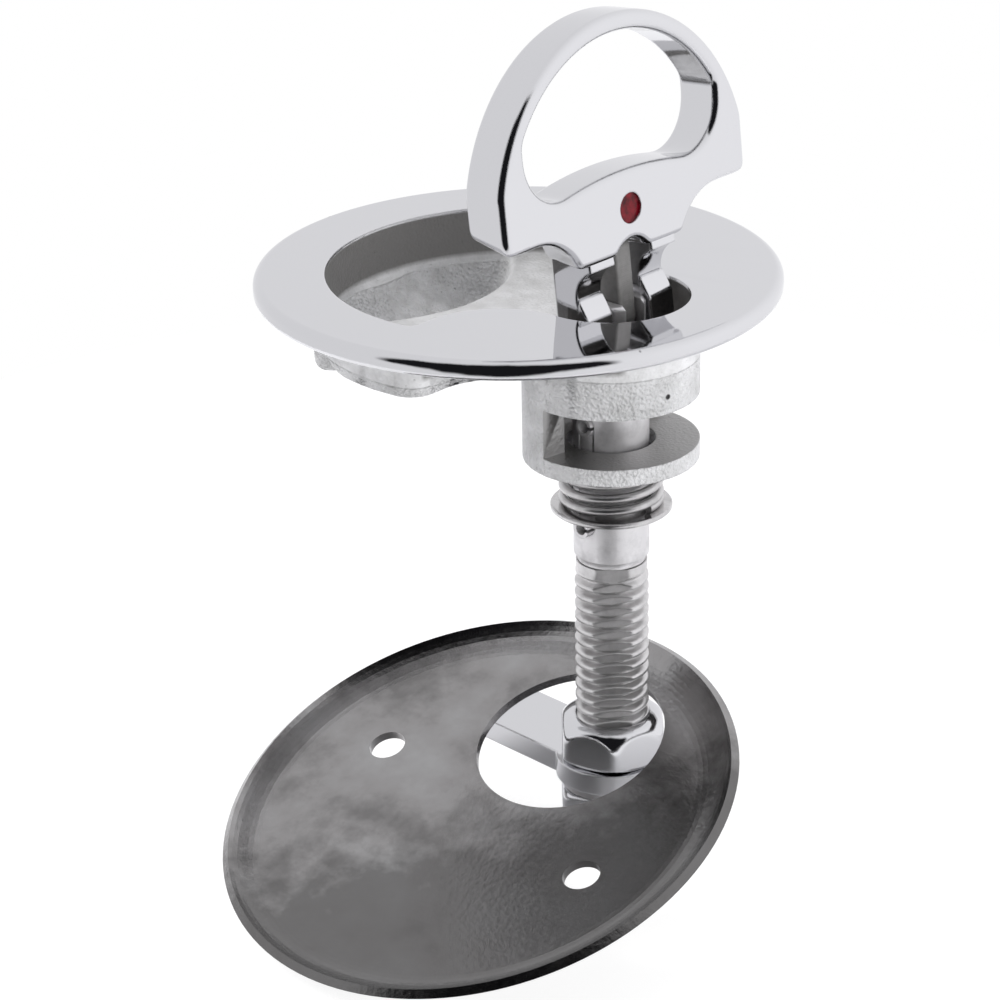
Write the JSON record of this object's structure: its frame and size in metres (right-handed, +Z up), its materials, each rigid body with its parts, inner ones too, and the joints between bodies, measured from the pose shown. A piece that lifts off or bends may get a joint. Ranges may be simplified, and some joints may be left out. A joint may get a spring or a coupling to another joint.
{
  "type": "flush pull latch",
  "caption": "Round flush latch with a fold-down ring handle on a spring-loaded spindle, a clamping arm and a dished backing plate.",
  "frame": {"origin": "on the spindle's axis, at the underside of the flange that lies on the hatch", "axes": "+Z up along the spindle, out of the flange's face; the finger bowl lies towards -X, and the raised ring's plane is across X"},
  "size_m": [0.0898, 0.099, 0.1265],
  "materials": {
    "polished_steel": "polished stainless steel, with rough cast surfaces below the flange and in the bowl",
    "satin_steel": "satin stainless steel, as turned",
    "spring_steel": "bright drawn wire",
    "sheet_steel": "dull mottled sheet with bright edges",
    "red_enamel": "glossy dark red enamel"
  },
  "bodies": {
    "housing": {"escutcheon": "polished_steel", "spring": "spring_steel"},
    "spring_seat": {"spring_washer": "satin_steel"},
    "shaft": {"spindle": "satin_steel", "pivot_pin": "satin_steel", "cross_pin": "satin_steel", "washer_pin": "satin_steel", "upper_nut": "polished_steel", "cam_arm": "polished_steel", "lock_washer": "satin_steel", "lower_nut": "polished_steel", "backing_plate": "sheet_steel"},
    "handle": {"ring_handle": "polished_steel", "indicator_dot": "red_enamel"}
  },
  "joints": [
    {"name": "spindle_lift", "type": "slide", "parent": "housing", "child": "spring_seat", "axis": [0, 0, 1], "range_m": [-0.0027, 0], "deforming": ["spring"]},
    {"name": "spindle_turn", "type": "hinge", "parent": "spring_seat", "child": "shaft", "pos_m": [0, 0, 0], "axis": [0, 0, 1], "range_deg": [-360, 360]},
    {"name": "handle_fold", "type": "hinge", "parent": "shaft", "child": "handle", "pos_m": [0, 0, 0], "axis": [0, 1, 0], "range_deg": [-84, 0]}
  ],
  "couplings": [
    {"joint": "handle_fold", "follows": "spindle_lift", "rad_per_m": 543.01}
  ]
}
